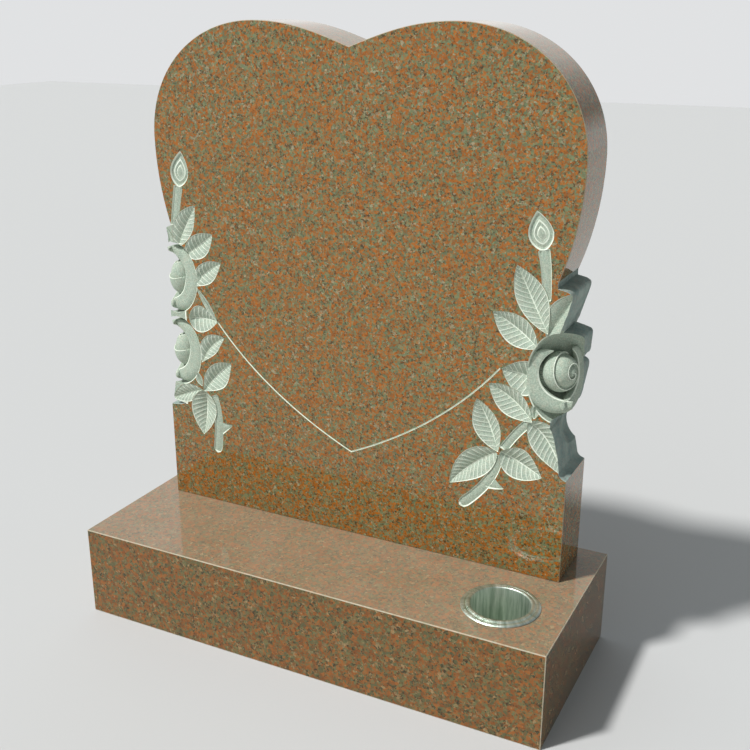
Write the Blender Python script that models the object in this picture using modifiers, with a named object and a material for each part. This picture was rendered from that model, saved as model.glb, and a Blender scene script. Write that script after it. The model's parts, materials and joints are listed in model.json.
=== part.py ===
"""Heart headstone: a granite base, a heart-shaped tablet carved with rose sprays, and a flower vase.

Metres, +Z up. X runs along the base, the front faces -Y, and the origin is on the ground
under the middle of the base.
"""

import math
from collections import namedtuple

import bmesh
import bpy
from mathutils import Matrix, Vector

# Base block
BASE_WIDTH = 0.900
BASE_DEPTH = 0.356
BASE_HEIGHT = 0.173
BASE_ARRIS = 0.0015

# Tablet: a straight foot below, a heart above
TABLET_WIDTH = 0.804
TABLET_THICKNESS = 0.110
TABLET_SETBACK = 0.028
SHOULDER_HEIGHT = 0.190
NOTCH_HEIGHT = 0.870
CREST_HEIGHT = 0.910
CREST_FROM_CENTRE = 0.182
WIDEST_HEIGHT = 0.707
POINT_HEIGHT = 0.165

# Reach of the handles of the heart's three curves
NOTCH_HANDLE = (0.072, 0.027)
CREST_HANDLE_IN = 0.062
CREST_HANDLE_OUT = 0.124
SIDE_HANDLE_UP = 0.119
SIDE_HANDLE_DOWN = 0.213
POINT_HANDLE = (0.274, 0.122)

# The narrow waist between the heart and the foot, where the sprays stand
WAIST_INSET = 0.033
OUTLINE_STEP = 0.006
RIGHT_COVE_HEIGHT = 0.062
LEFT_COVE_HEIGHT = 0.006
LOBE_BLUNTNESS = 8

# Straight pieces in each curve of the heart
FLANK_STEPS = 10
TURN_STEPS = 14
RISE_STEPS = 8

# Engraved line that finishes the heart across the foot
LINE_WIDTH = 0.0030
LINE_SINK = 0.0004
LINE_STEPS = 18

# Carving
LEAF_RIM_DEPTH = 0.0015
LEAF_VALLEY_SLOPE = 0.42
LEAF_STEPS = 7
LEAF_FULLNESS = 0.85
STEM_RIM_DEPTH = 0.0035
STEM_CROWN = 0.0020
STEM_STEPS = 6
BUD_RIM_DEPTH = 0.0045
BUD_CROWN = 0.0035
CUTTER_STANDOFF = 0.004
BLADE_END_WIDTH = 0.0005

# Roses, each sunk in a bowl at the tablet's upright corner
BOWL_INSET = 0.017
BOWL_TURN = math.radians(45.0)
BOWL_SEGMENTS = 20
HEART_SEGMENTS = 14
HEART_TURN = math.radians(10.0)
SIDE_LIP_DROP = 0.0012
LIP_BELLY = 1.3
LIP_SEGMENTS = 8
LIP_STEPS = 12
BLOCK_SKIN = 0.0010

# Vase: a round steel container that hangs by its flange in the base
VASE_FLANGE_DIAMETER = 0.133
VASE_FLANGE_THICKNESS = 0.0030
VASE_BEAD_DIAMETER = 0.118
VASE_BEAD_HEIGHT = 0.0018
VASE_MOUTH_DIAMETER = 0.100
VASE_WALL = 0.0015
VASE_DEPTH = 0.125
VASE_FROM_SIDE = 0.112
VASE_FROM_FRONT = 0.104
VASE_SEGMENTS = 40
BORE_CLEARANCE = 0.0015

# Gap kept where two pieces rest on each other
SEAT_GAP = 0.0003

FRONT = BASE_DEPTH / 2 - TABLET_SETBACK - TABLET_THICKNESS
FOOT = BASE_HEIGHT + SEAT_GAP
HALF_WIDTH = TABLET_WIDTH / 2
VASE_OUTSIDE = VASE_MOUTH_DIAMETER + 2 * VASE_WALL
VASE_X = BASE_WIDTH / 2 - VASE_FROM_SIDE
VASE_Y = VASE_FROM_FRONT - BASE_DEPTH / 2

# The sprays. Places are (inset from the tablet's side, height above its foot) in metres.
# A leaf has its half widths to the left and right of the line from base to tip, as seen on
# the right-hand spray; the left-hand spray is laid out the same way and turned over.
Leaf = namedtuple("Leaf", "name base tip left right bend belly")
Stem = namedtuple("Stem", "name start middle end width_start width_end")
Rose = namedtuple("Rose", "name height heart bowl lip")
Heart = namedtuple("Heart", "inset depth wide deep tall")
Bowl = namedtuple("Bowl", "rise wide deep tall")
Lip = namedtuple("Lip", "start end radius rise spread width fullness depth thickness reach")
Lobe = namedtuple("Lobe", "low high reach_low reach_high")

RIGHT_LEAVES = (
    Leaf("crown_leaf", (0.046, 0.438), (0.102, 0.545), 0.022, 0.030, 0.004, 0.52),
    Leaf("upper_leaf", (0.062, 0.412), (0.139, 0.464), 0.025, 0.026, 0.000, 0.47),
    Leaf("edge_leaf", (0.048, 0.432), (0.006, 0.509), 0.022, 0.024, 0.000, 0.52),
    Leaf("sepal", (0.052, 0.352), (0.120, 0.369), 0.032, 0.030, 0.000, 0.40),
    Leaf("middle_leaf", (0.064, 0.284), (0.142, 0.340), 0.026, 0.022, -0.003, 0.50),
    Leaf("corner_leaf", (0.070, 0.284), (0.008, 0.199), 0.030, 0.026, 0.006, 0.42),
    Leaf("rising_leaf", (0.121, 0.220), (0.162, 0.310), 0.026, 0.021, 0.000, 0.50),
    Leaf("low_leaf", (0.122, 0.218), (0.207, 0.145), 0.026, 0.028, -0.005, 0.42),
    Leaf("cross_leaf", (0.117, 0.220), (0.042, 0.188), 0.031, 0.027, -0.003, 0.42),
    Leaf("calyx", (0.061, 0.290), (0.060, 0.318), 0.008, 0.008, 0.000, 0.50),
)
RIGHT_STEMS = (
    Stem("bud_stem", (0.060, 0.574), (0.052, 0.540), (0.051, 0.492), 0.020, 0.015),
    Stem("branch", (0.068, 0.283), (0.090, 0.262), (0.112, 0.226), 0.016, 0.016),
    Stem("stalk", (0.119, 0.214), (0.124, 0.160), (0.188, 0.106), 0.017, 0.021),
    Stem("thorn", (0.136, 0.163), (0.124, 0.156), (0.108, 0.154), 0.032, 0.002),
)
RIGHT_BUD = Leaf("bud", (0.060, 0.571), (0.074, 0.634), 0.021, 0.021, 0.000, 0.42)
RIGHT_HEART = Heart(0.0330, 0.0330, 0.032, 0.032, 0.035)
RIGHT_BOWL = Bowl(-0.002, 0.072, 0.046, 0.079)
RIGHT_LIP = Lip(84.0, -133.0, 0.041, 0.0, 0.015, 0.0180, 0.60, 0.0135, 0.0120, 0.0775)
RIGHT_ROSES = (Rose("rose", 0.367, RIGHT_HEART, RIGHT_BOWL, RIGHT_LIP),)
RIGHT_LOBES = (
    Lobe(0.430, 0.513, 0.004, 0.028),
    Lobe(0.378, 0.431, 0.030, 0.033),
    Lobe(0.290, 0.379, 0.018, 0.033),
    Lobe(0.184, 0.276, 0.024, 0.004),
)

LEFT_LEAVES = (
    Leaf("crown_leaf", (0.034, 0.505), (0.081, 0.589), 0.021, 0.023, -0.004, 0.48),
    Leaf("upper_leaf", (0.050, 0.493), (0.117, 0.539), 0.025, 0.020, 0.000, 0.48),
    Leaf("side_leaf", (0.065, 0.437), (0.133, 0.487), 0.023, 0.017, -0.005, 0.50),
    Leaf("edge_leaf", (0.024, 0.490), (0.010, 0.546), 0.012, 0.010, 0.000, 0.50),
    Leaf("strip", (0.074, 0.436), (0.119, 0.373), 0.006, 0.006, 0.000, 0.50),
    Leaf("sepal", (0.054, 0.372), (0.119, 0.373), 0.025, 0.028, 0.000, 0.38),
    Leaf("middle_leaf", (0.079, 0.288), (0.133, 0.343), 0.017, 0.021, -0.009, 0.50),
    Leaf("rising_leaf", (0.080, 0.229), (0.146, 0.294), 0.029, 0.020, -0.006, 0.50),
    Leaf("low_leaf", (0.080, 0.231), (0.074, 0.138), 0.030, 0.029, 0.000, 0.42),
    Leaf("corner_leaf", (0.077, 0.231), (0.004, 0.203), 0.021, 0.016, 0.000, 0.50),
    Leaf("calyx", (0.076, 0.238), (0.062, 0.268), 0.008, 0.008, 0.000, 0.50),
)
LEFT_STEMS = (
    Stem("bud_stem", (0.047, 0.622), (0.040, 0.586), (0.033, 0.548), 0.020, 0.017),
    Stem("stalk", (0.102, 0.224), (0.118, 0.180), (0.104, 0.104), 0.018, 0.021),
    Stem("thorn", (0.112, 0.158), (0.126, 0.162), (0.142, 0.168), 0.032, 0.002),
)
LEFT_BUD = Leaf("bud", (0.048, 0.620), (0.056, 0.686), 0.020, 0.020, 0.000, 0.42)
LEFT_HEART = Heart(0.0275, 0.0240, 0.0265, 0.0225, 0.035)
LEFT_BOWL = Bowl(0.004, 0.074, 0.0435, 0.070)
LEFT_LIP = Lip(114.0, -117.0, 0.0320, 0.030, 0.020, 0.0200, 0.45, 0.0135, 0.0120, 0.0830)
LEFT_ROSES = (
    Rose("upper_rose", 0.444, LEFT_HEART, LEFT_BOWL, LEFT_LIP),
    Rose("lower_rose", 0.300, LEFT_HEART, LEFT_BOWL, LEFT_LIP),
)
LEFT_LOBES = (
    Lobe(0.500, 0.548, 0.018, 0.022),
    Lobe(0.390, 0.508, 0.033, 0.033),
    Lobe(0.358, 0.394, 0.023, 0.023),
    Lobe(0.245, 0.362, 0.033, 0.033),
    Lobe(0.196, 0.248, 0.030, 0.020),
)

# Hollow at the side behind the right-hand corner leaf: centre and half sizes,
# each as inset, depth and height
SIDE_HOLLOW = (-0.010, 0.092, 0.262)
SIDE_HOLLOW_SIZE = (0.049, 0.068, 0.046)


def clear_scene():
    for thing in list(bpy.data.objects):
        bpy.data.objects.remove(thing, do_unlink=True)


def make_collection(name):
    group = bpy.data.collections.new(name)
    bpy.context.scene.collection.children.link(group)
    return group


def make_material(name, colour, roughness, metallic):
    material = bpy.data.materials.new(name)
    material.use_nodes = True
    shader = material.node_tree.nodes["Principled BSDF"]
    shader.inputs["Base Color"].default_value = (*colour, 1.0)
    shader.inputs["Roughness"].default_value = roughness
    shader.inputs["Metallic"].default_value = metallic
    material.diffuse_color = (*colour, 1.0)
    return material


def move_to(thing, group):
    for owner in list(thing.users_collection):
        owner.objects.unlink(thing)
    group.objects.link(thing)


def apply_transform(thing):
    bpy.context.view_layer.update()
    thing.data.transform(thing.matrix_world)
    thing.matrix_world = Matrix.Identity(4)


def mark_as_cutter(thing, group):
    move_to(thing, group)
    thing.hide_render = True
    thing.display_type = "WIRE"


def add_boolean(thing, name, operation, operand, solver="EXACT"):
    modifier = thing.modifiers.new(name, "BOOLEAN")
    modifier.operation = operation
    modifier.solver = solver
    if isinstance(operand, bpy.types.Collection):
        modifier.operand_type = "COLLECTION"
        modifier.collection = operand
    else:
        modifier.object = operand


def mesh_object(name, bm, group):
    bm.normal_update()
    bmesh.ops.recalc_face_normals(bm, faces=bm.faces)
    mesh = bpy.data.meshes.new(name)
    bm.to_mesh(mesh)
    bm.free()
    thing = bpy.data.objects.new(name, mesh)
    group.objects.link(thing)
    return thing


def curve_to_mesh(curve_object, name, group):
    bpy.context.view_layer.update()
    evaluated = curve_object.evaluated_get(bpy.context.evaluated_depsgraph_get())
    mesh = bpy.data.meshes.new_from_object(evaluated)
    bm = bmesh.new()
    bm.from_mesh(mesh)
    bmesh.ops.remove_doubles(bm, verts=bm.verts, dist=0.00001)
    bmesh.ops.recalc_face_normals(bm, faces=bm.faces)
    bm.to_mesh(mesh)
    bm.free()
    thing = bpy.data.objects.new(name, mesh)
    thing.matrix_world = curve_object.matrix_world.copy()
    group.objects.link(thing)
    bpy.data.objects.remove(curve_object, do_unlink=True)
    apply_transform(thing)
    return thing


# Heart outline

def bezier(points, t):
    s = 1.0 - t
    a, b, c, d = (Vector(point) for point in points)
    return a * s ** 3 + b * (3 * s * s * t) + c * (3 * s * t * t) + d * t ** 3


def crown_curves():
    """Right half of the heart's top: notch to crest, and crest to the widest place."""
    notch = (0.0, NOTCH_HEIGHT)
    crest = (CREST_FROM_CENTRE, CREST_HEIGHT)
    side = (HALF_WIDTH, WIDEST_HEIGHT)
    rise = (notch, (NOTCH_HANDLE[0], NOTCH_HEIGHT + NOTCH_HANDLE[1]),
            (crest[0] - CREST_HANDLE_IN, CREST_HEIGHT), crest)
    turn = (crest, (crest[0] + CREST_HANDLE_OUT, CREST_HEIGHT),
            (HALF_WIDTH, WIDEST_HEIGHT + SIDE_HANDLE_UP), side)
    return rise, turn


def flank_curve():
    """Right flank of the heart, from its widest place down to its point."""
    return ((HALF_WIDTH, WIDEST_HEIGHT), (HALF_WIDTH, WIDEST_HEIGHT - SIDE_HANDLE_DOWN),
            (POINT_HANDLE[0], POINT_HEIGHT + POINT_HANDLE[1]), (0.0, POINT_HEIGHT))


def flank_step(height):
    """How far along the flank its curve comes down to a height, from 0 to 1."""
    curve = flank_curve()
    low, high = 0.0, 1.0
    for _ in range(30):
        middle = (low + high) / 2
        if bezier(curve, middle).y > height:
            low = middle
        else:
            high = middle
    return low


def waist_reach(height, lobes, cove_height):
    """Distance from the centre to the outline that the leaves and roses give the waist."""
    reach = 0.0
    for lobe in lobes:
        share = (height - lobe.low) / (lobe.high - lobe.low)
        if 0.0 < share < 1.0:
            blunt_end = math.sqrt(1.0 - abs(2 * share - 1.0) ** LOBE_BLUNTNESS)
            slope = lobe.reach_low + (lobe.reach_high - lobe.reach_low) * share
            reach = max(reach, slope * blunt_end)
    rise = height - SHOULDER_HEIGHT
    if rise < cove_height:
        reach = max(reach, WAIST_INSET * (1.0 - math.sqrt(rise / cove_height)))
    return HALF_WIDTH - WAIST_INSET + reach


def side_outline(lobes, cove_height):
    """Right-hand outline from the foot up to the notch, as (x, height) points."""
    points = [Vector((HALF_WIDTH, 0.0))]
    flank = flank_curve()
    height = SHOULDER_HEIGHT
    while True:
        heart_reach = bezier(flank, flank_step(height)).x
        reach = waist_reach(height, lobes, cove_height)
        if heart_reach > reach:
            break
        points.append(Vector((reach, height)))
        height += OUTLINE_STEP
    start = flank_step(height)
    for index in range(FLANK_STEPS):
        points.append(bezier(flank, start * (1.0 - index / FLANK_STEPS)))
    rise, turn = crown_curves()
    for index in range(TURN_STEPS):
        points.append(bezier(turn, 1.0 - index / TURN_STEPS))
    for index in range(RISE_STEPS):
        points.append(bezier(rise, 1.0 - index / RISE_STEPS))
    points.append(Vector((0.0, NOTCH_HEIGHT)))
    return points


def make_slab(group):
    right = side_outline(RIGHT_LOBES, RIGHT_COVE_HEIGHT)
    left = side_outline(LEFT_LOBES, LEFT_COVE_HEIGHT)[:-1]
    outline = right + [Vector((-point.x, point.y)) for point in reversed(left)]
    curve = bpy.data.curves.new("tablet_outline", "CURVE")
    curve.dimensions = "2D"
    curve.fill_mode = "BOTH"
    curve.extrude = TABLET_THICKNESS / 2
    spline = curve.splines.new("POLY")
    spline.points.add(len(outline) - 1)
    for knot, point in zip(spline.points, outline):
        knot.co = (point.x, point.y, 0.0, 1.0)
    spline.use_cyclic_u = True
    outline_object = bpy.data.objects.new("tablet_outline", curve)
    outline_object.rotation_euler = (math.radians(90.0), 0.0, 0.0)
    outline_object.location = (0.0, FRONT + TABLET_THICKNESS / 2, FOOT)
    group.objects.link(outline_object)
    return curve_to_mesh(outline_object, "heart_tablet", group)


# Carving on the face

def corner_point(side, inset, depth, height):
    """A point by its distances from the tablet's side, its face and its foot."""
    return Vector((side * (HALF_WIDTH - inset), FRONT + depth, FOOT + height))


def sunk_blade(name, side, centre, widths, depth, steps, group):
    """A cutter for a sunk shape that runs along a centre line.

    centre(u) gives the line as (inset, height), widths(u) its half widths to the left
    and right, and depth(u, v) the floor, for u from 0 to 1 and v from -1 to 1.
    """
    bm = bmesh.new()
    bmesh.ops.create_grid(bm, x_segments=steps, y_segments=2, size=1.0)
    for vertex in bm.verts:
        u = (vertex.co.x + 1.0) / 2
        v = vertex.co.y
        step = 0.001
        ahead = centre(min(u + step, 1.0)) - centre(max(u - step, 0.0))
        across = Vector((-ahead.y, ahead.x)).normalized()
        left, right = widths(u)
        place = centre(u) + across * (v * (left if v > 0 else right))
        vertex.co = corner_point(side, place.x, depth(u, v), place.y)
    above = bmesh.ops.extrude_face_region(bm, geom=bm.faces[:])
    for item in above["geom"]:
        if isinstance(item, bmesh.types.BMVert):
            item.co.y = FRONT - CUTTER_STANDOFF
    blade = mesh_object(name, bm, group)
    mark_as_cutter(blade, group)
    return blade


def leaf_profile(u, belly):
    """Width of a leaf along its length, from 0 at the base to 1 at the belly."""
    bent = min(max(u, 0.0), 1.0) ** (math.log(0.5) / math.log(belly))
    return math.sin(math.pi * bent) ** LEAF_FULLNESS


def bowed_line(base, tip, bend):
    """A line from base to tip, bowed sideways by bend in its middle."""
    start, end = Vector(base), Vector(tip)
    along = (end - start).normalized()
    sideways = Vector((-along.y, along.x)) * bend
    return lambda u: start.lerp(end, u) + sideways * (4 * u * (1 - u))


def leaf_named(name, leaves):
    return next(leaf for leaf in leaves if leaf.name == name)


def cut_leaf(side, leaf, group):
    def widths(u):
        share = leaf_profile(u, leaf.belly)
        left = max(leaf.right * share, BLADE_END_WIDTH)
        right = max(leaf.left * share, BLADE_END_WIDTH)
        return left, right

    def depth(u, v):
        half_width = (leaf.left + leaf.right) / 2 * leaf_profile(u, leaf.belly)
        return LEAF_RIM_DEPTH + LEAF_VALLEY_SLOPE * half_width * (1.0 - abs(v))

    line = bowed_line(leaf.base, leaf.tip, -leaf.bend)
    return sunk_blade(f"{leaf.name}_cut", side, line, widths, depth, LEAF_STEPS, group)


def cut_bud(side, bud, group):
    def widths(u):
        share = max(leaf_profile(u, bud.belly), BLADE_END_WIDTH)
        return bud.left * share, bud.right * share

    def depth(u, v):
        return BUD_RIM_DEPTH - BUD_CROWN * leaf_profile(u, bud.belly) * (1.0 - abs(v))

    line = bowed_line(bud.base, bud.tip, bud.bend)
    return sunk_blade("bud_cut", side, line, widths, depth, LEAF_STEPS, group)


def cut_stem(side, stem, group):
    start, middle, end = Vector(stem.start), Vector(stem.middle), Vector(stem.end)

    def line(u):
        s = 1.0 - u
        return start * s * s + middle * (2 * s * u) + end * u * u

    def widths(u):
        half = (stem.width_start + (stem.width_end - stem.width_start) * u) / 2
        return half, half

    def depth(u, v):
        return STEM_RIM_DEPTH - STEM_CROWN * (1.0 - abs(v))

    return sunk_blade(f"{stem.name}_cut", side, line, widths, depth, STEM_STEPS, group)


def cut_heart_line(group):
    """The engraved line: a thin rod on the face, along the foot of the heart."""
    flank = flank_curve()
    right_start = flank_step(leaf_named("sepal", RIGHT_LEAVES).tip[1])
    left_start = flank_step(leaf_named("sepal", LEFT_LEAVES).tip[1])
    right = [bezier(flank, right_start + (1.0 - right_start) * i / LINE_STEPS)
             for i in range(LINE_STEPS + 1)]
    left = [bezier(flank, left_start + (1.0 - left_start) * i / LINE_STEPS)
            for i in range(LINE_STEPS)]
    route = right + [Vector((-point.x, point.y)) for point in reversed(left)]
    curve = bpy.data.curves.new("heart_line", "CURVE")
    curve.dimensions = "3D"
    curve.bevel_depth = LINE_WIDTH / 2
    curve.bevel_resolution = 0
    curve.use_fill_caps = True
    spline = curve.splines.new("POLY")
    spline.points.add(len(route) - 1)
    for knot, point in zip(spline.points, route):
        knot.co = (point.x, FRONT + LINE_SINK, FOOT + point.y, 1.0)
    rod = bpy.data.objects.new("heart_line", curve)
    group.objects.link(rod)
    mark_as_cutter(curve_to_mesh(rod, "heart_line_cut", group), group)


# Roses at the corners

def ball(name, side, inset, depth, height, scale, turn, segments, group):
    """An ellipsoid in the corner, its first axis turned about the upright."""
    bm = bmesh.new()
    bmesh.ops.create_uvsphere(bm, u_segments=segments, v_segments=segments // 2, radius=1.0)
    shape = Matrix.Diagonal((*scale, 1.0))
    swing = Matrix.Rotation(turn, 4, "Z")
    place = Matrix.Translation((inset, depth, height))
    bmesh.ops.transform(bm, matrix=place @ swing @ shape, verts=bm.verts)
    for vertex in bm.verts:
        vertex.co = corner_point(side, *vertex.co)
    return mesh_object(name, bm, group)


def lip_petal(name, side, rose, on_side_face, group):
    """A crescent petal: a ball drawn out along an arc just under the tablet's face."""
    bm = bmesh.new()
    bmesh.ops.create_uvsphere(bm, u_segments=LIP_SEGMENTS, v_segments=LIP_STEPS, radius=1.0)
    lip = rose.lip
    middle_inset = rose.heart.depth if on_side_face else rose.heart.inset
    start, end = math.radians(lip.start), math.radians(lip.end)
    for vertex in bm.verts:
        share = math.acos(max(-1.0, min(1.0, vertex.co.z))) / math.pi
        swell = abs(math.sin(math.pi * share ** LIP_BELLY)) ** lip.fullness
        turn = math.atan2(vertex.co.y, vertex.co.x)
        angle = start + (end - start) * share
        radius = lip.radius + lip.rise * (1.0 - share) ** 3
        radius += lip.spread * share ** 2 + lip.width * swell * math.cos(turn)
        depth = lip.depth + lip.thickness * swell * math.sin(turn)
        inset = min(max(middle_inset + radius * math.cos(angle), BLOCK_SKIN), lip.reach)
        if on_side_face:
            inset, depth = depth + SIDE_LIP_DROP, inset
        vertex.co = corner_point(side, inset, depth, rose.height + radius * math.sin(angle))
    return mesh_object(name, bm, group)


def carve_rose(side, rose, cutters, raised):
    heart, bowl = rose.heart, rose.bowl
    hollow = ball(f"{rose.name}_bowl", side, BOWL_INSET, BOWL_INSET, rose.height + bowl.rise,
                  (bowl.deep, bowl.wide, bowl.tall), BOWL_TURN, BOWL_SEGMENTS, cutters)
    mark_as_cutter(hollow, cutters)
    petals = ball(f"{rose.name}_heart", side, heart.inset, heart.depth, rose.height,
                  (heart.wide, heart.deep, heart.tall), HEART_TURN, HEART_SEGMENTS, raised)
    mark_as_cutter(petals, raised)
    mark_as_cutter(lip_petal(f"{rose.name}_lip", side, rose, False, raised), raised)
    mark_as_cutter(lip_petal(f"{rose.name}_side_lip", side, rose, True, raised), raised)


def make_tablet(group):
    cutters = make_collection("tablet cutters")
    raised = make_collection("rose forms")
    tablet = make_slab(group)
    sprays = (
        (1.0, RIGHT_LEAVES, RIGHT_STEMS, RIGHT_BUD, RIGHT_ROSES),
        (-1.0, LEFT_LEAVES, LEFT_STEMS, LEFT_BUD, LEFT_ROSES),
    )
    for side, leaves, stems, bud, roses in sprays:
        for leaf in leaves:
            cut_leaf(side, leaf, cutters)
        for stem in stems:
            cut_stem(side, stem, cutters)
        cut_bud(side, bud, cutters)
        for rose in roses:
            carve_rose(side, rose, cutters, raised)
    cut_heart_line(cutters)
    hollow = ball("side_hollow", 1.0, *SIDE_HOLLOW, SIDE_HOLLOW_SIZE, 0.0,
                  BOWL_SEGMENTS, cutters)
    mark_as_cutter(hollow, cutters)
    # The EXACT solver leaves open edges where shallow cuts cross on the face
    add_boolean(tablet, "Carving", "DIFFERENCE", cutters, "MANIFOLD")
    add_boolean(tablet, "Roses", "UNION", raised, "MANIFOLD")
    tablet.data.materials.append(
        make_material("tablet granite", (0.34, 0.17, 0.09), 0.18, 0.0))
    return tablet


# Base and vase

def make_base(group):
    bpy.ops.mesh.primitive_cube_add(size=1.0, location=(0.0, 0.0, BASE_HEIGHT / 2))
    base = bpy.context.active_object
    base.name = "base"
    base.scale = (BASE_WIDTH, BASE_DEPTH, BASE_HEIGHT)
    apply_transform(base)
    move_to(base, group)
    arris = base.modifiers.new("Arris", "BEVEL")
    arris.width = BASE_ARRIS
    arris.segments = 1
    bore_radius = VASE_OUTSIDE / 2 + BORE_CLEARANCE
    bore_depth = VASE_DEPTH + BORE_CLEARANCE
    bpy.ops.mesh.primitive_cylinder_add(vertices=VASE_SEGMENTS, radius=bore_radius, depth=2 * bore_depth,
                                        location=(VASE_X, VASE_Y, BASE_HEIGHT))
    bore = bpy.context.active_object
    bore.name = "vase_bore"
    apply_transform(bore)
    mark_as_cutter(bore, make_collection("base cutters"))
    add_boolean(base, "Vase bore", "DIFFERENCE", bore)
    base.data.materials.append(make_material("base granite", (0.36, 0.19, 0.11), 0.15, 0.0))
    return base


def make_vase(group):
    mouth = VASE_MOUTH_DIAMETER / 2
    outside = VASE_OUTSIDE / 2
    flange = VASE_FLANGE_DIAMETER / 2
    bead = VASE_BEAD_DIAMETER / 2
    top = VASE_FLANGE_THICKNESS
    profile = (
        (0.0, VASE_WALL - VASE_DEPTH),
        (mouth, VASE_WALL - VASE_DEPTH),
        (mouth, top + VASE_BEAD_HEIGHT),
        (bead - VASE_BEAD_HEIGHT, top + VASE_BEAD_HEIGHT),
        (bead, top),
        (flange - VASE_BEAD_HEIGHT, top),
        (flange, top - VASE_BEAD_HEIGHT),
        (flange, 0.0),
        (outside, 0.0),
        (outside, -VASE_DEPTH),
        (0.0, -VASE_DEPTH),
    )
    mesh = bpy.data.meshes.new("vase")
    edges = [(index, index + 1) for index in range(len(profile) - 1)]
    mesh.from_pydata([(radius, 0.0, height) for radius, height in profile], edges, [])
    vase = bpy.data.objects.new("flower_vase", mesh)
    vase.location = (VASE_X, VASE_Y, BASE_HEIGHT + SEAT_GAP)
    group.objects.link(vase)
    turning = vase.modifiers.new("Turning", "SCREW")
    turning.axis = "Z"
    turning.angle = math.radians(360.0)
    turning.steps = VASE_SEGMENTS
    turning.render_steps = VASE_SEGMENTS
    turning.use_merge_vertices = True
    turning.merge_threshold = 0.0001
    mesh.materials.append(make_material("vase steel", (0.62, 0.64, 0.60), 0.25, 1.0))
    return vase


def main():
    clear_scene()
    group = make_collection("heart headstone")
    make_base(group)
    make_tablet(group)
    make_vase(group)


main()
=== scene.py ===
"""The looks of the heart headstone: polished granite, frosted roses and a steel vase."""

import json
import math
from collections import namedtuple

import bmesh
import bpy
from mathutils import Matrix, Vector, noise

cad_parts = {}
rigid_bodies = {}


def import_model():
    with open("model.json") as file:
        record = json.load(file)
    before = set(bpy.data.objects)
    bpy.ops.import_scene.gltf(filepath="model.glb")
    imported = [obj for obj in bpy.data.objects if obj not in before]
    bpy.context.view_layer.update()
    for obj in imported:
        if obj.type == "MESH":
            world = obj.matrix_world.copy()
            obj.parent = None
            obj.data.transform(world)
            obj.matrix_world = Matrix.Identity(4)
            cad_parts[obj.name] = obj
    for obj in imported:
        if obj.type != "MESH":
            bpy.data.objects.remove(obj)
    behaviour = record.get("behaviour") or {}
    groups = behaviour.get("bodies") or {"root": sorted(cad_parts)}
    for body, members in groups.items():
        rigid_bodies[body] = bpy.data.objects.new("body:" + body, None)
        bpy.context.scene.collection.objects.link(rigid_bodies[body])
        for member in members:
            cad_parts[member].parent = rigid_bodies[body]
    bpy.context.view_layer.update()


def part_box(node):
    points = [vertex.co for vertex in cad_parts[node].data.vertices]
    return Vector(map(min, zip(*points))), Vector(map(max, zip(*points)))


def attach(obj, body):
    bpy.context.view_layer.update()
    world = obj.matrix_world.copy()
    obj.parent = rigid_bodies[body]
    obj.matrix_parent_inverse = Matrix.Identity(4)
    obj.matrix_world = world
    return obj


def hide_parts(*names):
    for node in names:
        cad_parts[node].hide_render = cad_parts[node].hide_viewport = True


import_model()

# Places that the frame gives, in metres
TABLET_LOW, TABLET_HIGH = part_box("heart_tablet")
BASE_LOW, BASE_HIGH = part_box("base")
VASE_LOW, VASE_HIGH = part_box("flower_vase")
HALF_WIDTH = TABLET_HIGH.x
FRONT = TABLET_LOW.y
THICKNESS = TABLET_HIGH.y - TABLET_LOW.y
FOOT = TABLET_LOW.z
VASE_X = (VASE_LOW.x + VASE_HIGH.x) / 2
VASE_Y = (VASE_LOW.y + VASE_HIGH.y) / 2

# Heart outline: heights above the tablet's foot
SHOULDER_HEIGHT = 0.190
NOTCH_HEIGHT = 0.870
CREST_HEIGHT = TABLET_HIGH.z - TABLET_LOW.z
CREST_FROM_CENTRE = 0.182
WIDEST_HEIGHT = 0.707
POINT_HEIGHT = 0.165
NOTCH_HANDLE = (0.072, 0.027)
CREST_HANDLE_IN = 0.062
CREST_HANDLE_OUT = 0.124
SIDE_HANDLE_UP = 0.119
SIDE_HANDLE_DOWN = 0.213
POINT_HANDLE = (0.274, 0.122)
WAIST_INSET = 0.033
OUTLINE_STEP = 0.003
OUTLINE_HALVINGS = 30
RIGHT_COVE_HEIGHT = 0.062
LEFT_COVE_HEIGHT = 0.006
LOBE_BLUNTNESS = 8
FLANK_STEPS = 60
TURN_STEPS = 64
RISE_STEPS = 32
TABLET_ARRIS = 0.0010
TABLET_SMOOTH_ANGLE = 32.0
DEPTH_LAYERS = 14

# The waist's rough sides
CHISEL_SCALE = 70.0
CHISEL_FINE_SCALE = 2.6
CHISEL_FINE_SHARE = 0.5
CHISEL_LEVEL = 0.5
CHISEL_SWING = 0.7
CHISEL_DEPTH = 0.0022
LEAST_SHRINK = 0.0004
WAIST_LEAST_X = 0.2
WAIST_MARGIN = 0.001
SIDE_FACING = 0.9
SIDE_HOLLOW = (-0.010, 0.092, 0.262)
SIDE_HOLLOW_SIZE = (0.049, 0.068, 0.046)
SIDE_HOLLOW_SEGMENTS = 48

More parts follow.
